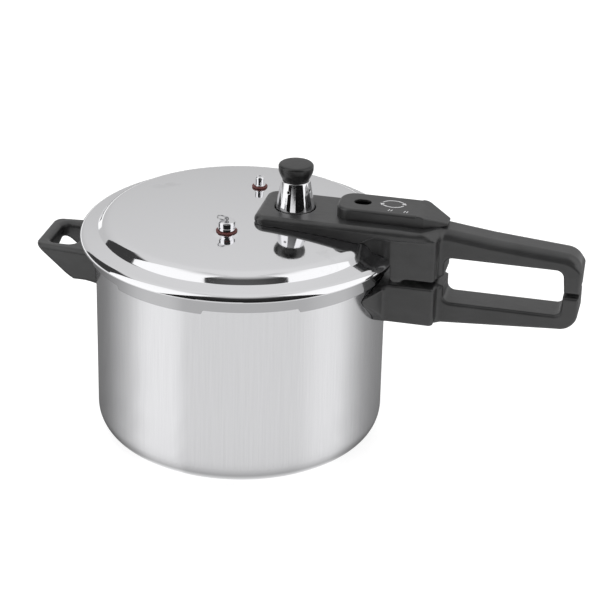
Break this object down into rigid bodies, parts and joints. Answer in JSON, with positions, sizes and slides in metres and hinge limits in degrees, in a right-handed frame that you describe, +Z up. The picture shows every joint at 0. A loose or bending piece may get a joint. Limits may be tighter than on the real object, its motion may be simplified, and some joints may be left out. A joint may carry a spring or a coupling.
{
  "type": "pressure cooker",
  "caption": "Aluminium stovetop pressure cooker with a turning bayonet lid, two-part black loop handle, helper handle, weighted steam regulator and valves.",
  "frame": {"origin": "centre of the pot's flat base, on the surface it stands on", "axes": "+Z up along the pot's axis, +X along the long handle with the lid closed"},
  "size_m": [0.4255, 0.2496, 0.2266],
  "materials": {
    "pot_aluminium": "satin with fine vertical brush lines outside",
    "lid_aluminium": "mirror polished",
    "bracket_aluminium": "plain",
    "black_phenolic": "satin moulded",
    "black_cover": "satin moulded",
    "black_knob": "satin moulded",
    "chrome": "bright plated",
    "plain_steel": "plain",
    "brass": "plain",
    "pale_silicone": "soft",
    "red_silicone": "soft"
  },
  "bodies": {
    "pot": {"pot_body": "pot_aluminium", "body_handle": "black_phenolic", "body_handle_bracket": "bracket_aluminium", "body_handle_rivets": "bracket_aluminium", "body_handle_screw": "plain_steel", "helper_handle": "black_phenolic", "helper_bracket": "bracket_aluminium", "helper_rivets": "bracket_aluminium", "helper_screw": "plain_steel"},
    "gasket": {"lid_gasket": "pale_silicone"},
    "lid": {"lid": "lid_aluminium", "lid_handle": "black_phenolic", "handle_cover": "black_cover", "cover_screws": "plain_steel", "lid_handle_screws": "plain_steel", "lid_screw_washers": "red_silicone", "lid_handle_inserts": "brass", "vent_tube": "plain_steel", "vent_nut": "plain_steel", "vent_seal": "red_silicone", "indicator_body": "chrome", "indicator_seal": "red_silicone", "indicator_nut": "plain_steel", "safety_body": "chrome", "safety_seal": "red_silicone", "safety_nut": "plain_steel", "safety_spring": "plain_steel", "lock_seal": "red_silicone"},
    "regulator": {"regulator_weight": "chrome", "regulator_needle": "plain_steel", "regulator_knob": "black_knob", "regulator_stud": "plain_steel"},
    "indicator": {"indicator_pin": "plain_steel"},
    "safety_poppet": {"safety_stem": "plain_steel"},
    "pull_ring": {"safety_ring": "plain_steel"},
    "pressure_lock": {"lock_pin": "plain_steel"}
  },
  "joints": [
    {"name": "lid_lift", "type": "slide", "parent": "pot", "child": "gasket", "axis": [0, 0, 1], "range_m": [0, 0.12]},
    {"name": "lid_turn", "type": "hinge", "parent": "gasket", "child": "lid", "pos_m": [0, 0, 0.166], "axis": [0, 0, 1], "range_deg": [0, 36]},
    {"name": "regulator_lift", "type": "slide", "parent": "lid", "child": "regulator", "axis": [0, 0, 1], "range_m": [0, 0.03]},
    {"name": "indicator_rise", "type": "slide", "parent": "lid", "child": "indicator", "axis": [0, 0, 1], "range_m": [0, 0.004]},
    {"name": "safety_lift", "type": "slide", "parent": "lid", "child": "safety_poppet", "axis": [0, 0, 1], "range_m": [0, 0.0015], "stiffness_N_per_m": 2000, "springref_m": -0.002, "deforming": ["safety_spring"]},
    {"name": "pull_ring_swing", "type": "hinge", "parent": "safety_poppet", "child": "pull_ring", "pos_m": [0, -0.0455, 0.1948], "axis": [-0.2079, 0.9781, 0], "range_deg": [0, 156]},
    {"name": "lock_rise", "type": "slide", "parent": "lid", "child": "pressure_lock", "axis": [0, 0, 1], "range_m": [0, 0.004]}
  ]
}
